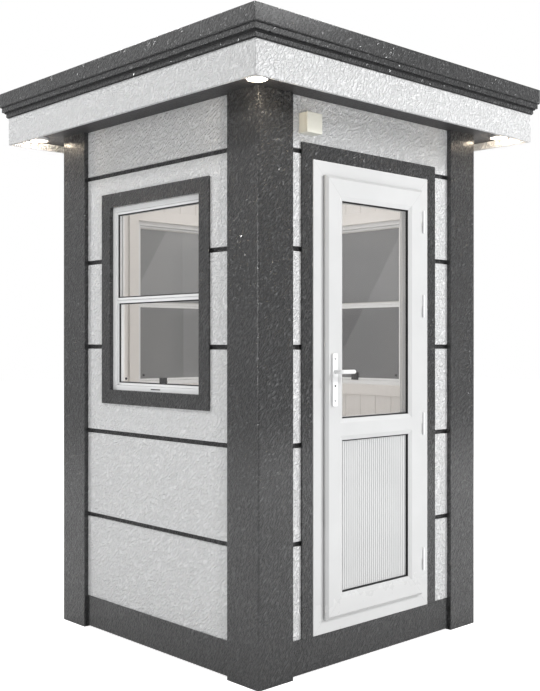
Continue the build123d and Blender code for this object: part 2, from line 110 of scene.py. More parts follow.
class Shade:
    """One output of a material's graph, with arithmetic that adds Math nodes."""

    def __init__(self, graph: "Graph", socket: bpy.types.NodeSocket) -> None:
        self.graph = graph
        self.socket = socket

    def _math(self, operation: str, first: "Operand", second: "Operand" = 0.0) -> "Shade":
        """A Math node of two operands.

        Args:
            operation: Blender's name of the operation.
            first: the left operand.
            second: the right operand.

        Returns:
            The node's result.
        """
        return self.graph.node("ShaderNodeMath", {"operation": operation}, {0: first, 1: second})

    def __add__(self, other: "Operand") -> "Shade":
        """This value plus another."""
        return self._math("ADD", self, other)

    def __sub__(self, other: "Operand") -> "Shade":
        """This value less another."""
        return self._math("SUBTRACT", self, other)

    def __rsub__(self, other: "Operand") -> "Shade":
        """Another value less this one."""
        return self._math("SUBTRACT", other, self)

    def __mul__(self, other: "Operand") -> "Shade":
        """This value times another."""
        return self._math("MULTIPLY", self, other)

    def __truediv__(self, other: "Operand") -> "Shade":
        """This value divided by another."""
        return self._math("DIVIDE", self, other)

    def __abs__(self) -> "Shade":
        """This value without its sign."""
        return self._math("ABSOLUTE", self)

    __radd__ = __add__

    def fraction(self) -> "Shade":
        """What is left of this value past its whole part."""
        return self._math("FRACT", self)

    def most(self, other: "Operand") -> "Shade":
        """The larger of this value and another."""
        return self._math("MAXIMUM", self, other)

    def ramp(self, low: float, high: float) -> "Shade":
        """A smooth step of this value.

        Args:
            low: the value where the step is 0.
            high: the value where the step is 1; it may be the smaller one.

        Returns:
            The step, from 0 to 1.
        """
        if high < low:
            return 1 - self.ramp(high, low)
        settings = {"interpolation_type": "SMOOTHSTEP"}
        return self.graph.node("ShaderNodeMapRange", settings, {0: self, 1: low, 2: high})


Operand = Union[Shade, float]


class Graph:
    """The node graph of one material."""

    def __init__(self, name: str) -> None:
        self.material = bpy.data.materials.new(name)
        self.material.use_nodes = True
        self.tree = self.material.node_tree
        self.tree.nodes.clear()
        self.place = self.node("ShaderNodeTexCoord", output="Object")

    def node(
        self,
        kind: str,
        settings: dict[str, Any] | None = None,
        inputs: dict[int | str, Any] | None = None,
        output: int | str = 0,
    ) -> Shade:
        """Adds a node, sets it and feeds it.

        Args:
            kind: the node's type.
            settings: attributes to set before the sockets are filled.
            inputs: values or other outputs, by the socket's name or place.
            output: which of the node's outputs is wanted.

        Returns:
            The wanted output, or the first input of the node that ends the graph.
        """
        made = self.tree.nodes.new(kind)
        for name, value in (settings or {}).items():
            setattr(made, name, value)
        for key, value in (inputs or {}).items():
            if isinstance(value, Shade):
                self.tree.links.new(value.socket, made.inputs[key])
            else:
                made.inputs[key].default_value = value
        return Shade(self, made.outputs[output] if made.outputs else made.inputs[0])

    def axes(self, vector: Shade | None = None) -> tuple[Shade, Shade, Shade]:
        """The three parts of a vector, or of the place on the piece."""
        split = self.node("ShaderNodeSeparateXYZ", inputs={0: vector or self.place})
        outputs = split.socket.node.outputs
        return Shade(self, outputs[0]), Shade(self, outputs[1]), Shade(self, outputs[2])

    def stretched(self, direction: Sequence[float], share: float) -> Shade:
        """The place on the piece, pressed together along one direction.

        Args:
            direction: the direction, in the row frame.
            share: how much of the length along it is taken away, from 0 to 1.

        Returns:
            The changed place, for textures whose marks run along the direction.
        """
        unit = Vector(direction).normalized()
        dot = {"operation": "DOT_PRODUCT"}
        along = self.node("ShaderNodeVectorMath", dot, {0: self.place, 1: unit}, output="Value")
        shift = self.node(
            "ShaderNodeVectorMath", {"operation": "SCALE"}, {0: unit, "Scale": along * share}
        )
        less = {"operation": "SUBTRACT"}
        return self.node("ShaderNodeVectorMath", less, {0: self.place, 1: shift})

    def slanting(self, length: float) -> Shade:
        """The place on the piece, turned so that marks slant upwards to one side of a wall.

        Args:
            length: how many times longer than wide the marks are.

        Returns:
            The changed place: across the marks, along them, and round the cabin's corners.
        """
        x, y, z = self.axes()
        across = (x - y - z) * 0.707
        along = (x - y + z) * (0.707 / length)
        return self.node("ShaderNodeCombineXYZ", inputs={0: across, 1: along, 2: (x + y) * 0.35})

    def noise(
        self, scale: float, detail: float = 2.0, distortion: float = 0.0, at: Shade | None = None
    ) -> Shade:
        """Smooth random values from 0 to 1.

        Args:
            scale: how many marks go to a metre.
            detail: how many finer layers are added.
            distortion: how much the marks are bent.
            at: where the values are read, if not at the place on the piece.

        Returns:
            The values.
        """
        sockets = {"Vector": at or self.place, "Scale": scale, "Detail": detail}
        return self.node("ShaderNodeTexNoise", inputs={**sockets, "Distortion": distortion})

    def blend(self, factor: Operand, first: Any, second: Any) -> Shade:
        """A mix of two colours.

        Args:
            factor: 0 for the first colour, 1 for the second.
            first: the first colour, or an output with it.
            second: the second colour, or an output with it.

        Returns:
            The mixed colour.
        """
        colours = [c if isinstance(c, Shade) else (*c, 1.0) for c in (first, second)]
        sockets = {0: factor, 6: colours[0], 7: colours[1]}
        return self.node("ShaderNodeMix", {"data_type": "RGBA"}, sockets, output=2)

    def bump(self, height: Shade, depth: float, strength: float = 1.0) -> Shade:
        """A normal from a height.

        Args:
            height: the height, from 0 to 1.
            depth: how far apart 0 and 1 lie, in metres.
            strength: how much of the relief shows.

        Returns:
            The normal.
        """
        return self.node(
            "ShaderNodeBump", inputs={"Strength": strength, "Distance": depth, "Height": height}
        )

    def surface(self, **sockets: Any) -> bpy.types.Material:
        """Ends the graph in one Principled shader.

        Args:
            sockets: the shader's sockets, with underscores for spaces.

        Returns:
            The finished material.
        """
        inputs = {name.replace("_", " "): value for name, value in sockets.items()}
        for name, value in inputs.items():
            if isinstance(value, tuple) and len(value) == 3:
                inputs[name] = (*value, 1.0)
        shader = self.node("ShaderNodeBsdfPrincipled", inputs=inputs)
        self.node("ShaderNodeOutputMaterial", inputs={"Surface": shader})
        return self.material


@dataclass(frozen=True)
class CrinkleCoat:
    """A thick sprayed coat that dries in short slanting wrinkles."""

    name: str
    colour: Colour
    # The darker tone of the creases, a painted shade.
    crease_colour: Colour
    roughness: float
    relief: float
    coat: float = 0.0
    wrinkles_per_metre: float = 120.0
    length: float = 2.7
    # The foot's tone and cover: a dust tone by default; the dark coat's darker foot is painted
    # shade.
    foot: Colour = (0.3, 0.28, 0.26)
    foot_cover: float = 0.16
    foot_height: float = 0.32
    coat_roughness: float = 0.16

    def material(self) -> bpy.types.Material:
        """Builds the coat with wrinkles, painted crease shade, dull patches and a foot toned by
        dust, and on the dark coat by painted shade.
        """
        graph = Graph(self.name)
        drawn = graph.slanting(self.length)
        broad = graph.noise(self.wrinkles_per_metre, 2.0, 0.3, drawn)
        creases = broad.ramp(0.32, 0.66)
        swell = graph.noise(self.wrinkles_per_metre * 0.3, 1.0, 0.3, drawn)
        height = creases + swell * 0.7
        patches = graph.noise(2.6, 3.0, 0.4)
        _, _, up = graph.axes()
        # Darker towards the bottom: dust on most coats, painted shade on the dark coat.
        stain = up.ramp(self.foot_height, 0.0) * graph.noise(24.0, 3.0) * self.foot_cover
        # Painted shade: the coat is darker in its creases; the patches add a random tone.
        tint = graph.blend(creases * 0.85 + patches * 0.15, self.crease_colour, self.colour)
        tint = graph.blend(stain, tint, self.foot)
        gloss = self.roughness - 0.07 + patches * 0.14 + (1 - creases) * 0.06 + stain * 0.2
        return graph.surface(
            Base_Color=tint,
            Roughness=gloss,
            Coat_Weight=self.coat,
            Coat_Roughness=self.coat_roughness,
            Normal=graph.bump(height, self.relief),
        )


@dataclass(frozen=True)
class Seams:
    """The cut lines where four rails of one rectangle meet at 45 degrees, in a wall's frame."""

    wall: Wall
    u: Limits
    z: Limits
    face: float
    width: float = 0.0011

    def mask(self, graph: Graph) -> Shade:
        """The lines, 1 on a line and 0 beside it, for one graph."""
        parts = graph.axes()
        sign = 1.0 if self.wall in (Wall.FRONT, Wall.RIGHT) else -1.0
        along = parts[self.wall.along] * sign
        middle_u, middle_z = sum(self.u) / 2, sum(self.z) / 2
        from_side = (self.u[1] - self.u[0]) / 2 - abs(along - middle_u)
        from_end = (self.z[1] - self.z[0]) / 2 - abs(parts[2] - middle_z)
        line = abs(from_side - from_end).ramp(self.width, self.width * 0.35)
        return line * from_side.ramp(self.face + 0.001, self.face)


@dataclass(frozen=True)
class FramePlastic:
    """White extruded window plastic, with faint draw lines and welded corners."""

    name: str
    colour: Colour = (0.8, 0.805, 0.81)
    roughness: float = 0.24
    seams: tuple[Seams, ...] = ()

    def material(self) -> bpy.types.Material:
        """Builds the plastic with its corner welds."""
        graph = Graph(self.name)
        cloud = graph.noise(5.0, 3.0, 0.3)
        grain = graph.noise(900.0, 1.0)
        weld: Operand = 0.0
        for seam in self.seams:
            mask = seam.mask(graph)
            weld = mask if isinstance(weld, float) else weld.most(mask)
        _, _, up = graph.axes()
        dust = up.ramp(0.5, 0.16) * graph.noise(30.0, 3.0) * 0.12
        shade = tuple(part * 0.965 for part in self.colour)
        tint = graph.blend(cloud.ramp(0.3, 0.7), shade, self.colour)
        tint = graph.blend(dust, tint, (0.5, 0.48, 0.45))
        height = grain * 0.05 + cloud * 0.1
        if isinstance(weld, Shade):
            tint = graph.blend(weld * 0.42, tint, (0.28, 0.28, 0.29))
            height = height - weld
        return graph.surface(
            Base_Color=tint,
            Roughness=self.roughness - 0.04 + cloud * 0.08 + dust,
            Normal=graph.bump(height, 0.0004, 0.6),
        )


@dataclass(frozen=True)
class Enamel:
    """A smooth hard finish of fittings: enamel, moulded plastic or rubber."""

    name: str
    colour: Colour
    roughness: float
    grain: float = 700.0
    relief: float = 0.00012
    wear: float = 0.25
    metallic: float = 0.0
    coat: float = 0.0

    def material(self) -> bpy.types.Material:
        """Builds the finish with a fine grain, hand marks and rubbed spots."""
        graph = Graph(self.name)
        grain = graph.noise(self.grain, 2.0, 0.1)
        marks = graph.noise(38.0, 4.0, 0.6)
        rubbed = marks.ramp(0.5, 0.75) * self.wear
        dull = tuple(part * 0.82 + 0.012 for part in self.colour)
        return graph.surface(
            Base_Color=graph.blend(rubbed, self.colour, dull),
            Roughness=self.roughness + rubbed * 0.3 + grain * 0.05,
            Metallic=self.metallic,
            Coat_Weight=self.coat,
            Normal=graph.bump(grain + marks * 0.4, self.relief, 0.7),
        )


@dataclass(frozen=True)
class BoardLining:
    """Cream lining in upright tongued boards, on walls of either direction."""

    name: str
    colour: Colour = (0.77, 0.75, 0.728)
    pitch: float = 0.11
    groove: float = 0.0035
    upright: bool = True

    def material(self) -> bpy.types.Material:
        """Builds the boards with their grooves and faint streaks."""
        graph = Graph(self.name)
        x, y, _ = graph.axes()
        facing = graph.axes(graph.node("ShaderNodeTexCoord", output="Normal"))
        faces_x = abs(facing[0]).ramp(0.45, 0.55)
        along = y * faces_x + x * (1 - faces_x) if self.upright else x
        place = (along / self.pitch + 100.5).fraction()
        edge = (0.5 - abs(place - 0.5)) * self.pitch
        groove = edge.ramp(self.groove, self.groove * 0.3)
        streaks = graph.noise(60.0, 3.0, 0.2, graph.stretched((0, 0, 1), 0.93))
        cloud = graph.noise(4.0, 2.0)
        pale = tuple(part * 0.95 for part in self.colour)
        tint = graph.blend(streaks.ramp(0.35, 0.75) * 0.6 + cloud * 0.3, self.colour, pale)
        tint = graph.blend(groove * 0.45, tint, (0.42, 0.39, 0.36))
        return graph.surface(
            Base_Color=tint,
            Roughness=0.42 + cloud * 0.1 + groove * 0.2,
            Normal=graph.bump(streaks * 0.06 - groove, 0.0025, 0.8),
        )


@dataclass(frozen=True)
class SheetGlass:
    """A sealed pane of clear or tinted glass, with painted reflections that make its tint paler
    past a slanting line.
    """

    name: str
    tint: Colour
    cover: float
    across: Colour = (1.0, 0.0, 0.0)
    rise: float = 1.68
    level: float = 2.273
    edge: float = 9.0

    def material(self) -> bpy.types.Material:
        """Builds the pane, with painted reflections past the line, past an edge and in the upper
        sash, and faint smears.
        """
        graph = Graph(self.name)
        x, y, z = graph.axes()
        along = x * self.across[0] + y * self.across[1]
        past = (along * self.rise + self.level - z).ramp(-0.012, 0.012)
        beside = along.ramp(self.edge - 0.003, self.edge + 0.003)
        smears = graph.noise(3.5, 3.0, 1.2)
        # Painted reflections: paler past the slanting line, past the edge and in the upper sash;
        # the smears are faint dirt.
        reflection_and_smears = past * 0.36 + beside * 0.3 + z.ramp(1.6, 1.68) * 0.46 + smears * 0.04
        light = tuple(min(1.0, part * 2.0) for part in self.tint)
        return graph.surface(
            Base_Color=graph.blend(reflection_and_smears, self.tint, light),
            Roughness=0.03 + smears * 0.02,
            IOR=1.52,
            Alpha=self.cover,
        )


@dataclass(frozen=True)
class LampLens:
    """The lit lens of a downlight, with moulded rings."""

    name: str
    glow: Colour = (1.0, 0.95, 0.87)
    strength: float = 3.2

    def material(self) -> bpy.types.Material:
        """Builds the lens, brighter in its middle."""
        graph = Graph(self.name)
        grain = graph.noise(420.0, 2.0)
        tint = graph.blend(grain * 0.3, self.glow, (0.92, 0.9, 0.85))
        return graph.surface(
            Base_Color=tint,
            Roughness=0.35,
            Emission_Color=tint,
            Emission_Strength=self.strength,
            Normal=graph.bump(grain, 0.0003, 0.4),
        )


@dataclass(frozen=True)
class PlankFloor:
    """Sealed floor boards with long grain."""

    name: str
    pale: Colour = (0.42, 0.33, 0.24)
    dark: Colour = (0.27, 0.2, 0.14)
    pitch: float = 0.145

    def material(self) -> bpy.types.Material:
        """Builds the boards, each a little apart from the next in tone."""
        graph = Graph(self.name)
        x, _, _ = graph.axes()
        board = x / self.pitch + 100.0
        place = board.fraction()
        gap = (0.5 - abs(place - 0.5)).ramp(0.016, 0.006)
        drawn = graph.stretched((0, 1, 0), 0.92)
        grain = graph.noise(70.0, 5.0, 1.5, drawn)
        number = graph.node("ShaderNodeCombineXYZ", inputs={0: board - place})
        tone = graph.noise(1.0, 0.0, 0.0, number)
        tint = graph.blend(grain.ramp(0.3, 0.7) * 0.6 + tone * 0.4, self.pale, self.dark)
        tint = graph.blend(gap, tint, (0.05, 0.04, 0.03))
        return graph.surface(
            Base_Color=tint,
            Roughness=0.38 + grain * 0.16 + gap * 0.3,
            Normal=graph.bump(grain * 0.15 - gap, 0.0015),
        )


@dataclass(frozen=True)
class WeatherSheet:
    """Grey sheet of the roof and primed steel of the base, with stains where water dries."""

    name: str
    colour: Colour
    stain: Colour
    roughness: float = 0.55
    seam_pitch: float = 0.0

    def material(self) -> bpy.types.Material:
        """Builds the sheet with stains and, where it has a pitch, welded laps."""
        graph = Graph(self.name)
        pools = graph.noise(6.0, 5.0, 0.8).ramp(0.42, 0.68)
        grit = graph.noise(340.0, 3.0)
        tint = graph.blend(pools * 0.6, self.colour, self.stain)
        tint = graph.blend(grit * 0.25, tint, tuple(part * 0.6 for part in self.colour))
        height = grit * 0.3
        if self.seam_pitch:
            x, _, _ = graph.axes()
            lap = abs((x / self.seam_pitch + 50.0).fraction() - 0.5).ramp(0.03, 0.026)
            height = height + lap
        return graph.surface(
            Base_Color=tint,
            Roughness=self.roughness + pools * 0.15 - grit * 0.05,
            Normal=graph.bump(height, 0.0018, 0.8),
        )


class Finishes:
    """All materials of the cabin, built once."""

    def __init__(self) -> None:
        # Each coat's second colour is the painted shade of its creases.
        self.dark_coat = CrinkleCoat(
            "dark_coat",
            (0.079, 0.081, 0.083),
            (0.027, 0.027, 0.029),
            0.28,
            0.034,
            coat=1.0,
            # A dark foot with nearly full cover: painted shade towards the bottom of the dark
            # coat.
            foot=(0.026, 0.027, 0.028),
            foot_cover=0.9,
        ).material()
        self.white_coat = CrinkleCoat(
            "white_render", (0.74, 0.743, 0.748), (0.655, 0.66, 0.665), 0.5, 0.0078
        ).material()
        self.core_coat = CrinkleCoat(
            "wall_core", (0.075, 0.075, 0.077), (0.03, 0.03, 0.03), 0.4, 0.009
        ).material()
        self.soffit_coat = CrinkleCoat(
            "soffit_coat", (0.036, 0.036, 0.038), (0.03, 0.03, 0.031), 0.5, 0.0008
        ).material()
        self.enamel = Enamel("white_hardware", (0.78, 0.785, 0.79), 0.2, coat=0.3).material()
        self.bright_steel = Enamel(
            "screw_steel", (0.55, 0.55, 0.56), 0.3, wear=0.5, metallic=1.0
        ).material()
        self.lining = BoardLining("cream_lining").material()
        self.ceiling = BoardLining("cream_ceiling", upright=False).material()
        self.cream = Enamel("cream_casing", (0.76, 0.737, 0.712), 0.36, 60.0, 0.0002).material()
        self.rubber = Enamel("black_rubber", (0.012, 0.012, 0.013), 0.55).material()
        self.pale_rubber = Enamel("pale_rubber", (0.6, 0.59, 0.575), 0.5).material()
        self.black = Enamel("black_plastic", (0.018, 0.018, 0.019), 0.3).material()
        self.box = Enamel("cream_box", (0.66, 0.655, 0.585), 0.33, 240.0).material()
        self.clear_glass = SheetGlass("clear_glass", (0.5, 0.505, 0.505), 0.03).material()
        self.rear_glass = SheetGlass(
            "rear_glass", (0.165, 0.168, 0.171), 0.96, edge=-0.014
        ).material()
        self.right_glass = SheetGlass(
            "right_glass", (0.128, 0.13, 0.133), 0.96, (0.0, -1.0, 0.0), 1.53, 1.542
        ).material()
        self.lens = LampLens("lamp_lens").material()
        self.floor = PlankFloor("floor_board").material()
        self.roof = WeatherSheet(
            "roof_sheet", (0.21, 0.212, 0.215), (0.255, 0.25, 0.24), seam_pitch=0.85
        ).material()
        self.steel = WeatherSheet("steel_beam", (0.1, 0.1, 0.1), (0.16, 0.11, 0.08)).material()


class Shape:
    """A mesh in the making, in one wall's own frame or in the row frame."""

    def __init__(self) -> None:
        self.mesh = bmesh.new()

    def face(self, corners: Sequence[bmesh.types.BMVert]) -> None:
        """Adds one face between given corners."""
        self.mesh.faces.new(corners)

    def block(self, u: Limits, v: Limits, z: Limits, round_by: float = 0.0) -> "Shape":
        """Adds a block with rounded edges.

        Args:
            u: its limits along the wall.
            v: its limits inwards.
            z: its limits upwards.
            round_by: the radius of its edges.

        Returns:
            This shape.
        """
        made = bmesh.ops.create_cube(self.mesh, size=1.0)["verts"]
        for vert in made:
            vert.co = Vector(
                (limits[0] + (part + 0.5) * (limits[1] - limits[0]))
                for limits, part in zip((u, v, z), vert.co)
            )
        if round_by:
            edges = {edge for vert in made for edge in vert.link_edges}
            form = {"offset": round_by, "segments": 3, "profile": 0.5, "affect": "EDGES"}
            bmesh.ops.bevel(self.mesh, geom=list(edges), **form)
        return self

    def band(self, u: Limits, z: Limits, section: Sequence[tuple[float, float]]) -> "Shape":
        """Adds a closed section run round a rectangle with mitred corners.

        Args:
            u: the rectangle's limits along the wall.
            z: its limits upwards.
            section: points of how far inside the rectangle and how far inwards they lie.

        Returns:
            This shape.
        """
        rows = []
        for inside, depth in section:
            in_u, in_z = grown(u, -inside), grown(z, -inside)
            turns = ((0, 0), (1, 0), (1, 1), (0, 1))
            rows.append([self.mesh.verts.new((in_u[a], depth, in_z[b])) for a, b in turns])
        for row, following in zip(rows, rows[1:] + rows[:1]):
            for number in range(4):
                after = (number + 1) % 4
                self.face((row[number], row[after], following[after], following[number]))
        return self

    def run(self, u: Limits, section: Sequence[tuple[float, float]]) -> "Shape":
        """Adds a straight moulding along the wall.

        Args:
            u: where it starts and ends.
            section: its closed outline, as points of v and z.

        Returns:
            This shape.
        """
        ends = [[self.mesh.verts.new((end, v, z)) for v, z in section] for end in u]
        count = len(section)
        for number in range(count):
            after = (number + 1) % count
            self.face((ends[0][number], ends[1][number], ends[1][after], ends[0][after]))
        self.face(ends[0])
        self.face(ends[1][::-1])
        return self

    def turned(
        self,
        centre: Sequence[float],
        outline: Sequence[tuple[float, float]],
        axis: Sequence[float],
        steps: int = 24,
    ) -> "Shape":
        """Adds a turned piece.

        Args:
            centre: the foot of its axis.
            outline: points of distance from the axis and height along it.
            axis: the direction of its axis.
            steps: how many facets go round it.

        Returns:
            This shape.
        """
        turn = Vector((0, 0, 1)).rotation_difference(Vector(axis)).to_matrix().to_4x4()
        place = Matrix.Translation(centre) @ turn
        rings = []
        for radius, height in outline:
            angles = [2 * math.pi * step / steps for step in range(steps)]
            points = [(radius * math.cos(a), radius * math.sin(a), height) for a in angles]
            rings.append([self.mesh.verts.new(place @ Vector(point)) for point in points])
        for ring, following in zip(rings, rings[1:]):
            for number in range(steps):
                after = (number + 1) % steps
                self.face((ring[number], ring[after], following[after], following[number]))
        self.face(rings[0][::-1])
        self.face(rings[-1])
        return self


class Bench:
    """Where pieces are finished: it dresses the model's nodes and adds new pieces."""

    def __init__(self, frame: dict[str, Any], finishes: Finishes) -> None:
        self.nodes = frame["nodes"]
        self.finishes = finishes

    def dress(
        self, names: str | Iterable[str], finish: bpy.types.Material, round_by: float = 0.0
    ) -> None:
        """Gives nodes of the model a finish and softens their edges.

        Args:
            names: one node's name, or several.
            finish: the material.
            round_by: the radius of the edges, or 0 to leave them.
        """
        for name in [names] if isinstance(names, str) else names:
            node = self.nodes[name]
            node.data.materials.clear()
            node.data.materials.append(finish)
            if round_by:
                weld = node.modifiers.new("weld", "WELD")
                weld.merge_threshold = 0.00002
                edges = node.modifiers.new("soft_edges", "BEVEL")
                edges.width = round_by
                edges.segments = 2
                edges.limit_method = "ANGLE"
                edges.angle_limit = math.radians(50)
                edges.use_clamp_overlap = True
                edges.harden_normals = True
            log.info("dressed %s in %s", name, finish.name)

    def add(
        self,
        name: str,
        shape: Shape,
        finish: bpy.types.Material,
        slot: str,
        wall: Wall | None = None,
        body: str = "cabin",
        smooth: bool = False,
    ) -> bpy.types.Object:
        """Turns a shape into a piece that rides on a body.

        Args:
            name: the piece's name.
            shape: its mesh.
            finish: its material.
            slot: the name of one of the record's material slots; it is not used.
            wall: the wall in whose frame the shape is, or None for the row frame.
            body: the body that it rides on.
            smooth: whether its faces are shaded round.

        Returns:
            The piece.
        """
        bmesh.ops.recalc_face_normals(shape.mesh, faces=shape.mesh.faces)
        if wall is not None:
            shape.mesh.transform(wall.matrix)
        data = bpy.data.meshes.new(name)
        shape.mesh.to_mesh(data)
        shape.mesh.free()
        data.materials.append(finish)
        if smooth:
            data.shade_smooth()
            data.set_sharp_from_angle(angle=math.radians(35))
        piece = bpy.data.objects.new(name, data)
        bpy.context.scene.collection.objects.link(piece)
        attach(piece, body)
        log.info("added %s on %s", name, body)
        return piece


@dataclass
class Shell:
    """Posts, walls, cladding, plinth, floor and lining."""

    post_edge: float = 0.0025
    board_edge: float = 0.0015
    skirting_height: float = 0.07
    skirting_depth: float = 0.012
    room_face: float = 0.094
    cove: float = 0.022

    def build(self, bench: Bench) -> None:
        """Dresses the shell's nodes and adds the room's skirting and cove."""
        finishes = bench.finishes
        corners = ("front_left", "front_right", "rear_left", "rear_right")
        bench.dress([f"corner_post_{corner}" for corner in corners], finishes.dark_coat)
        bench.dress("plinth_boards", finishes.dark_coat)
        sides = [wall.label for wall in Wall]
        bench.dress([f"cladding_{side}" for side in sides], finishes.white_coat, self.board_edge)
        cores = ("left_wall", "right_wall", "rear_wall")
        fronts = ("front_wall_left", "front_wall_right", "front_wall_over_door")
        bench.dress(cores + fronts, finishes.core_coat)
        bench.dress("inner_lining", finishes.lining)
        bench.dress("ceiling_panel", finishes.ceiling)
        bench.dress("inner_casings", finishes.cream, 0.002)
        bench.dress("floor_panel", finishes.floor)
        bench.dress("base_beams", finishes.steel)
        self.add_room_trim(bench)

    def add_room_trim(self, bench: Bench) -> None:
        """Adds a skirting along three walls and a cove under the ceiling along all four."""
        half = HALF_PLAN - self.room_face - 0.0005
        face, top = self.room_face, EAVES - 0.0005
        low, high = WALL_BASE + 0.0005, WALL_BASE + self.skirting_height
        skirting = [
            (face, low),
            (face, high),
            (face + self.skirting_depth * 0.4, high),
            (face + self.skirting_depth, high - 0.012),
            (face + self.skirting_depth, low),
        ]
        cove = [
            (face, top),
            (face, top - self.cove),
            (face + self.cove * 0.25, top - self.cove * 0.8),
            (face + self.cove * 0.8, top - self.cove * 0.25),
            (face + self.cove, top),
        ]
        for wall in Wall:
            if wall is not Wall.FRONT:
                piece = Shape().run((-half, half), skirting)
                name = f"skirting_{wall.label}"
                bench.add(name, piece, bench.finishes.cream, "cream_lining", wall)
            piece = Shape().run((-half, half), cove)
            bench.add(f"cove_{wall.label}", piece, bench.finishes.cream, "cream_lining", wall)


@dataclass
class Eaves:
    """Fascia, parapet, soffit, roof and the four downlights."""

    lamp_out: float = 0.088
    steps: tuple[tuple[float, float, float], ...] = (
        (0.202, 2.602, 0.004),
        (0.212, 2.627, 0.007),
        (0.228, 2.655, 0.004),
    )
    # The depth of the black strips of painted shade under the parapet's steps.
    bead_depth: float = 0.006
    lens_radius: float = 0.0365
    lens_height: float = 0.011
    lens_crown: float = 0.0025

    def build(self, bench: Bench) -> None:
        """Dresses the roof's nodes and adds black strips of painted shade under the parapet's
        steps, and the lamps' lenses.
        """
        finishes = bench.finishes
        bench.dress("fascia_boards", finishes.white_coat, 0.0015)
        bench.dress("cornice_boards", finishes.dark_coat, 0.0015)
        bench.dress("soffit_boards", finishes.soffit_coat)
        bench.dress(("roof_deck", "roof_cover"), finishes.roof)
        bench.dress("downlights", finishes.enamel)
        for wall in Wall:
            # Black strips in the black rubber under each step: painted shade where the steps'
            # undersides lie in shadow.
            shade_strips = Shape()
            for out, top, height in self.steps:
                end = HALF_PLAN + out + self.bead_depth
                v, z = (-out - self.bead_depth, -out), (top - height, top - 0.0002)
                lip = (v[0], z[0] + height * 0.3)
                shade_strips.run((-end, end), [(v[0], z[1]), (v[1], z[1]), (v[1], z[0]), lip])
            bench.add(f"parapet_beads_{wall.label}", shade_strips, finishes.rubber, "black_plastic", wall)
        reach = HALF_PLAN + self.lamp_out
        for number, (x, y) in enumerate(CORNER_SIGNS, start=1):
            centre = (x * reach, y * reach, EAVES - self.lens_height)
            lens = Shape().turned(centre, self.lens_outline(), (0, 0, -1), steps=40)
            bench.add(f"lamp_lens_{number}", lens, finishes.lens, "lamp_lens", smooth=True)

    def lens_outline(self) -> list[tuple[float, float]]:
        """The lens's section: a low crown with a rim."""
        shares = (1.0, 0.97, 0.85, 0.6, 0.3, 0.04)
        return [
            (self.lens_radius * share, self.lens_crown * (1 - share**2) ** 0.5) for share in shares
        ]


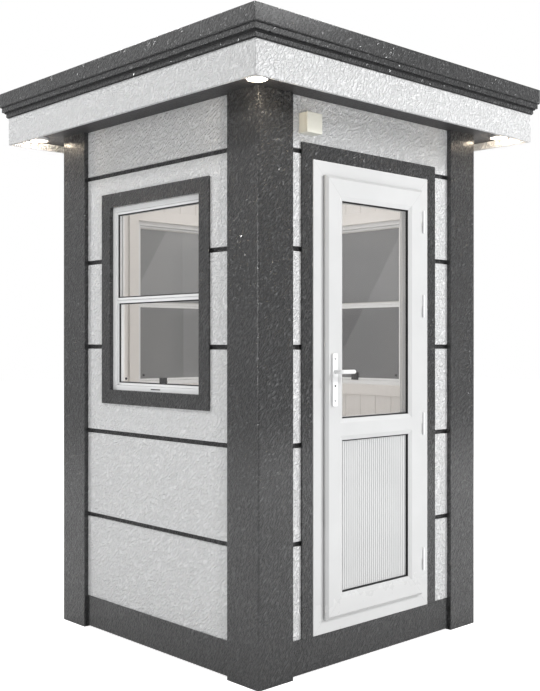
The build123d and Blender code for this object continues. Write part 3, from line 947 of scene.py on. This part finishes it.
@dataclass
class Window:
    """One window: its surround, frame, two sashes, seals, plugs and latch."""

    wall: Wall
    opening_u: Limits = (-0.345, 0.345)
    opening_z: Limits = (1.2035, 2.0925)
    upper_u: Limits = (-0.3115, 0.3115)
    upper_z: Limits = (1.652, 2.059)
    upper_front: float = 0.04
    upper_glass: Limits = (0.048, 0.064)
    lower_u: Limits = (-0.3115, 0.3115)
    lower_z: Limits = (1.238, 1.626)
    lower_front: float = 0.046
    lower_glass: Limits = (0.054, 0.07)
    seal_face: float = 0.0045
    seal_skin: float = 0.0019
    frame_front: float = 0.034
    plug_u: float = 0.29
    plug_z: float = 1.257
    frame_rail: float = 0.034
    sash_inset: float = 0.0225
    sash_rail: float = 0.0115
    sash_backs: tuple[float, float] = (0.07, 0.072)
    drain_half: float = 0.036
    drain_rise: Limits = (0.0075, 0.0125)
    drain_faces: Limits = (-0.0012, 0.002)
    tongue: tuple[Limits, Limits, Limits] = ((-0.012, 0.012), (0.0875, 0.0965), (1.2445, 1.2525))

    def build(self, bench: Bench) -> None:
        """Dresses the window's nodes and adds what is too fine for them."""
        side, finishes = self.wall.label, bench.finishes
        outer_u, outer_z = grown(self.opening_u, 0.01), grown(self.opening_z, 0.01)
        sash_u = grown(self.opening_u, -self.sash_inset)
        sash_z = grown(self.opening_z, -self.sash_inset)
        seams = (
            Seams(self.wall, outer_u, outer_z, self.frame_rail),
            Seams(self.wall, sash_u, sash_z, self.sash_rail),
        )
        plastic = FramePlastic(f"white_frame_{side}", seams=seams).material()
        bench.dress(f"window_surround_{side}", finishes.dark_coat, 0.0015)
        bench.dress((f"window_frame_{side}", f"window_sashes_{side}"), plastic, 0.0015)
        self.add_seals(bench)
        self.add_fittings(bench)

    def seal_section(
        self, front: float, glass: float, back: bool = False
    ) -> list[tuple[float, float]]:
        """The section of a seal that lines a sash's edge and laps onto its glass.

        Args:
            front: the depth of the sash's face.
            glass: the depth of the glass's face.
            back: whether the seal is on the room side.

        Returns:
            Points of how far inside the pane's edge and how far inwards they lie.
        """
        out = 1 if back else -1
        lap = glass + out * 0.0022
        edge = front - out * 0.0012
        return [
            (0.0003, glass),
            (0.0003, edge),
            (self.seal_skin, edge),
            (self.seal_skin, lap + out * 0.0006),
            (self.seal_face, lap),
            (self.seal_face + 0.0012, glass + out * 0.0004),
            (self.seal_face, glass),
        ]

    def add_seals(self, bench: Bench) -> None:
        """Adds black seals round both panes outside, and a pale one inside where the sash reaches
        far enough behind its glass.
        """
        panes = (
            ("upper", self.upper_u, self.upper_z, self.upper_front, self.upper_glass),
            ("lower", self.lower_u, self.lower_z, self.lower_front, self.lower_glass),
        )
        for (label, u, z, front, glass), back in zip(panes, self.sash_backs):
            seal = Shape().band(u, z, self.seal_section(front, glass[0]))
            if back > glass[1] + 0.003:
                inner = Shape().band(u, z, self.seal_section(back, glass[1], back=True))
                name = f"inner_seal_{label}_{self.wall.label}"
                bench.add(name, inner, bench.finishes.pale_rubber, "white_frame", self.wall)
            name = f"seal_{label}_{self.wall.label}"
            bench.add(name, seal, bench.finishes.rubber, "black_plastic", self.wall)

    def add_fittings(self, bench: Bench) -> None:
        """Adds the plugs, the drain slot and the latch's tongue."""
        side, finishes = self.wall.label, bench.finishes
        plugs = Shape()
        outline = [(0.0062, 0.0), (0.0062, 0.0035), (0.005, 0.005), (0.001, 0.0055)]
        for u in (-self.plug_u, self.plug_u):
            plugs.turned((u, self.lower_glass[1] + 0.0002, self.plug_z), outline, (0, 1, 0))
        bench.add(f"plugs_{side}", plugs, finishes.black, "black_plastic", self.wall, smooth=True)
        slot_z = tuple(self.opening_z[0] + rise for rise in self.drain_rise)
        slot_v = tuple(self.frame_front + face for face in self.drain_faces)
        slot = Shape().block((-self.drain_half, self.drain_half), slot_v, slot_z, 0.001)
        bench.add(f"drain_cap_{side}", slot, finishes.black, "black_plastic", self.wall)
        if self.wall is not Wall.REAR:
            tongue = Shape().block(*self.tongue, 0.0025)
            bench.add(f"latch_tongue_{side}", tongue, finishes.black, "black_plastic", self.wall)


@dataclass
class Door:
    """The door: frame, glazed leaf, ribbed panel, handle and hinges."""

    frame_u: Limits = (-0.42, 0.375)
    frame_z: Limits = (0.158, 2.229)
    leaf_u: Limits = (-0.358, 0.313)
    leaf_z: Limits = (0.22, 2.167)
    pane_u: Limits = (-0.253, 0.208)
    glass_z: Limits = (1.0965, 2.062)
    panel_z: Limits = (0.325, 1.0005)
    glass: Limits = (0.005, 0.029)
    leaf_faces: Limits = (-0.014, 0.06)
    bead_depth: float = 0.008
    handle: tuple[float, float] = (-0.313, 1.305)
    plate_faces: Limits = (-0.022, 0.068)
    screw_heights: tuple[float, float] = (1.362, 1.178)
    keyhole_height: float = 1.243
    leaf_rail: float = 0.104
    frame_rail: float = 0.07
    hinge_axis: tuple[float, float] = (0.323, -0.008)
    hinge_middles: tuple[float, ...] = (0.39, 1.0425, 1.608, 2.014)
    hinge_reach: float = 0.051
    # Painted shade: the door's white plastic is given a darker tone than the windows' same white
    # plastic, for the brighter light on the front.
    leaf_colour: Colour = (0.565, 0.569, 0.571)

    def build(self, bench: Bench) -> None:
        """Dresses the door's nodes and adds its seals, screws and lock."""
        finishes = bench.finishes
        leaf_seams = Seams(Wall.FRONT, self.leaf_u, self.leaf_z, self.leaf_rail)
        frame_seams = Seams(Wall.FRONT, self.frame_u, self.frame_z, self.frame_rail)
        leaf = FramePlastic("white_leaf", self.leaf_colour, seams=(leaf_seams,)).material()
        frame = FramePlastic("white_door_frame", self.leaf_colour, seams=(frame_seams,)).material()
        panel = FramePlastic("white_panel", self.leaf_colour).material()
        bench.dress("door_surround", finishes.dark_coat, 0.0015)
        bench.dress("door_frame", frame, 0.0025)
        bench.dress("door_leaf", leaf)
        bench.dress("door_panel", panel)
        bench.dress("door_glass", finishes.clear_glass)
        fittings = ("handle_plates", "door_lever", "hinge_frame_halves", "hinge_leaf_halves")
        bench.dress(fittings, finishes.enamel)
        self.add_seals(bench)
        self.add_lock(bench)
        self.add_hinge_caps(bench)

    def add_seals(self, bench: Bench) -> None:
        """Adds the seals round the glass and the panel, on both faces of the leaf."""
        outer, inner = Shape(), Shape()
        for z in (self.glass_z, self.panel_z):
            for seals, glass, edge, out in (
                (outer, self.glass[0], self.leaf_faces[0] + self.bead_depth + 0.0012, -1),
                (inner, self.glass[1], self.glass[1] + 0.0035, 1),
            ):
                section = [
                    (0.0003, glass),
                    (0.0003, edge),
                    (0.0018, edge),
                    (0.0018, glass + out * 0.003),
                    (0.005, glass + out * 0.0022),
                    (0.0062, glass + out * 0.0004),
                    (0.005, glass),
                ]
                seals.band(self.pane_u, z, section)
        finishes = bench.finishes
        bench.add("door_seals", outer, finishes.rubber, "black_plastic", Wall.FRONT, "door")
        pale = finishes.pale_rubber
        bench.add("door_inner_seals", inner, pale, "white_frame", Wall.FRONT, "door")
        rebate = Shape().band(
            grown(self.leaf_u, -0.0035),
            grown(self.leaf_z, -0.0035),
            [(0.0, 0.0052), (0.0, 0.0078), (0.0035, 0.0078), (0.0035, 0.0052)],
        )
        bench.add("leaf_seal", rebate, finishes.rubber, "black_plastic", Wall.FRONT, "door")

    def add_lock(self, bench: Bench) -> None:
        """Adds the plates' screws and the lock cylinder."""
        finishes, u = bench.finishes, self.handle[0]
        screws, sockets, cylinder = Shape(), Shape(), Shape()
        head = [(0.0042, 0.0), (0.0042, 0.0006), (0.0034, 0.0013), (0.0005, 0.0015)]
        for face, out in ((self.plate_faces[0], -1), (self.plate_faces[1], 1)):
            for z in self.screw_heights:
                screws.turned((u, face, z), head, (0, out, 0), steps=20)
                # A black bar across each screw head: painted shade of its slot.
                slot = tuple(sorted((face + out * 0.0012, face + out * 0.0017)))
                sockets.block(grown((u, u), 0.0026), slot, grown((z, z), 0.0005))
            foot = face - out * 0.0045
            barrel = [(0.0046, 0.0), (0.0046, 0.0038), (0.004, 0.0044), (0.0005, 0.0044)]
            cylinder.turned((u, foot, self.keyhole_height), barrel, (0, out, 0), steps=20)
        steel, black, front = finishes.bright_steel, finishes.black, Wall.FRONT
        bench.add("plate_screws", screws, steel, "white_hardware", front, "door", True)
        bench.add("screw_slots", sockets, black, "black_plastic", front, "door")
        bench.add("lock_cylinder", cylinder, black, "black_plastic", front, "door", True)

    def add_hinge_caps(self, bench: Bench) -> None:
        """Adds a turned cap at the foot and the head of each hinge."""
        lower, upper = Shape(), Shape()
        cap = [(0.0069, 0.0), (0.0069, 0.002), (0.0052, 0.0036), (0.001, 0.004)]
        for middle in self.hinge_middles:
            lower.turned((*self.hinge_axis, middle - self.hinge_reach), cap, (0, 0, -1), steps=20)
            upper.turned((*self.hinge_axis, middle + self.hinge_reach), cap, (0, 0, 1), steps=20)
        enamel = bench.finishes.enamel
        bench.add("hinge_foot_caps", lower, enamel, "white_hardware", Wall.FRONT, "cabin", True)
        bench.add("hinge_head_caps", upper, enamel, "white_hardware", Wall.FRONT, "door", True)


class Panes:
    """The panes and latches of the three windows."""

    wall_reach = 0.1

    def build(self, bench: Bench) -> None:
        """Gives the left panes the clear glass, and the right and rear ones a grey glass each."""
        node = bench.nodes["window_glass"]
        bench.dress("window_glass", bench.finishes.clear_glass)
        bench.dress("window_latches", bench.finishes.black)
        node.data.materials.append(bench.finishes.right_glass)
        node.data.materials.append(bench.finishes.rear_glass)
        near_wall = HALF_PLAN - self.wall_reach
        for face in node.data.polygons:
            on_right, on_rear = face.center.x > near_wall, face.center.y > near_wall
            face.material_index = 1 if on_right else 2 if on_rear else 0


@dataclass(frozen=True)
class AreaLight:
    """A soft square light: its name, place, aim, side in metres and power in watts."""

    name: str
    place: tuple[float, float, float]
    aim: tuple[float, float, float]
    side: float
    power: float
    colour: Colour = (1.0, 1.0, 1.0)
    in_reflections: bool = True

    def hang(self) -> None:
        """Adds the light to the scene, hidden from the camera."""
        data = bpy.data.lights.new(self.name, "AREA")
        data.shape = "RECTANGLE"
        data.size = data.size_y = self.side
        data.energy = self.power
        data.color = self.colour
        light = bpy.data.objects.new(self.name, data)
        light.location = self.place
        towards = Vector(self.aim) - Vector(self.place)
        light.rotation_euler = towards.to_track_quat("-Z", "Y").to_euler()
        light.visible_camera = False
        light.visible_glossy = self.in_reflections
        bpy.context.scene.collection.objects.link(light)


ROOM_WHITE = (1.0, 0.985, 0.97)
LAMP_YELLOW = (1.0, 0.84, 0.64)
AREA_LIGHTS = (
    AreaLight(
        "key_light", (5.6, -7.6, 5.4), (-0.1, -0.75, 1.4), 3.2, 430.0, in_reflections=False
    ),
    AreaLight("glint_light", (5.7, -6.9, 6.8), (-0.1, -0.75, 1.4), 0.9, 420.0),
    AreaLight(
        "low_light", (-2.9, -9.0, 1.2), (-0.7, -0.75, 1.3), 1.0, 230.0, in_reflections=False
    ),
    AreaLight("side_light", (-9.0, 1.0, 1.9), (-0.7, 0.0, 1.5), 2.8, 145.0),
    AreaLight("rake_light", (-4.9, 6.2, 6.6), (-0.75, 0.0, 1.3), 0.8, 400.0),
    AreaLight("rear_light", (3.8, 4.4, 4.4), (0.3, 0.3, 1.2), 2.4, 150.0),
    AreaLight("room_light", (0.0, 0.0, 2.44), (0.0, 0.0, 0.0), 0.9, 5.0, ROOM_WHITE, False),
)


@dataclass
class Studio:
    """Camera, floor, world and lights."""

    camera_place: tuple[float, float, float] = (-3.538, -3.789, 1.431)
    camera_turn: float = -43.18
    lens: float = 67.02
    shift: float = -0.0044
    floor_size: float = 60.0
    fill: float = 0.44
    lamp_out: float = 0.838
    lamp_height: float = 2.462

    def build(self) -> None:
        """Sets up the picture's camera and its soft white studio."""
        self.add_camera()
        self.add_floor()
        self.add_world()
        for light in AREA_LIGHTS:
            light.hang()
        self.add_glow("room_glow", (-0.1, 0.0, 1.2), 5.5, ROOM_WHITE, 0.25)
        for number, (x, y) in enumerate(CORNER_SIGNS, start=1):
            place = (x * self.lamp_out, y * self.lamp_out, self.lamp_height)
            self.add_glow(f"lamp_glow_{number}", place, 2.2, LAMP_YELLOW, 0.03)

    def add_camera(self) -> None:
        """Adds the camera at the photograph's place."""
        data = bpy.data.cameras.new("camera")
        data.sensor_fit = "HORIZONTAL"
        data.sensor_width = 36.0
        data.lens = self.lens
        data.shift_y = self.shift
        camera = bpy.data.objects.new("camera", data)
        camera.location = self.camera_place
        camera.rotation_euler = (math.radians(90), 0, math.radians(self.camera_turn))
        bpy.context.scene.collection.objects.link(camera)
        bpy.context.scene.camera = camera

    def add_floor(self) -> None:
        """Adds a plain pale floor."""
        shape = Shape()
        half = self.floor_size / 2
        corners = ((-half, -half), (half, -half), (half, half), (-half, half))
        shape.face([shape.mesh.verts.new((x, y, 0)) for x, y in corners])
        data = bpy.data.meshes.new("studio_floor")
        shape.mesh.to_mesh(data)
        shape.mesh.free()
        graph = Graph("studio_floor")
        cloud = graph.noise(0.6, 2.0)
        seen = graph.node("ShaderNodeLightPath", output="Is Camera Ray")
        paint = graph.surface(
            Base_Color=graph.blend(cloud, (0.8, 0.8, 0.8), (0.77, 0.77, 0.77)),
            Roughness=0.9,
            Emission_Color=graph.blend(seen, (0.0, 0.0, 0.0), (1.0, 1.0, 1.0)),
            Emission_Strength=0.8,
        )
        data.materials.append(paint)
        floor = bpy.data.objects.new("studio_floor", data)
        bpy.context.scene.collection.objects.link(floor)

    def add_world(self) -> None:
        """Sets a white backdrop that gives even fill light, and keeps its tones as they are."""
        world = bpy.data.worlds.new("studio_world")
        world.use_nodes = True
        tree = world.node_tree
        path = tree.nodes.new("ShaderNodeLightPath")
        level = tree.nodes.new("ShaderNodeMapRange")
        level.inputs["To Min"].default_value = self.fill
        level.inputs["To Max"].default_value = 1.0
        tree.links.new(path.outputs["Is Camera Ray"], level.inputs["Value"])
        background = tree.nodes["Background"]
        background.inputs["Color"].default_value = (1.0, 1.0, 1.0, 1.0)
        tree.links.new(level.outputs["Result"], background.inputs["Strength"])
        bpy.context.scene.world = world
        bpy.context.scene.view_settings.view_transform = "Standard"

    def add_glow(
        self, name: str, place: Sequence[float], power: float, colour: Colour, size: float
    ) -> None:
        """Adds a small round light that isn't seen itself.

        Args:
            name: its name.
            place: where it hangs.
            power: its power in watts.
            colour: its colour.
            size: its radius.
        """
        data = bpy.data.lights.new(name, "POINT")
        data.energy = power
        data.color = colour
        data.shadow_soft_size = size
        light = bpy.data.objects.new(name, data)
        light.location = place
        light.visible_camera = light.visible_glossy = False
        bpy.context.scene.collection.objects.link(light)


def main() -> None:
    """Dresses the cabin piece by piece and sets up the studio."""
    logging.basicConfig(level=logging.INFO, format="%(name)s: %(message)s")
    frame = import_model()
    bench = Bench(frame, Finishes())
    assemblies = [Shell(), Eaves(), Panes(), Door(), *(Window(wall) for wall in WINDOW_WALLS)]
    for assembly in assemblies:
        assembly.build(bench)
    bench.dress("cable_box", bench.finishes.box, 0.0015)
    Studio().build()


if __name__ == "__main__":
    main()
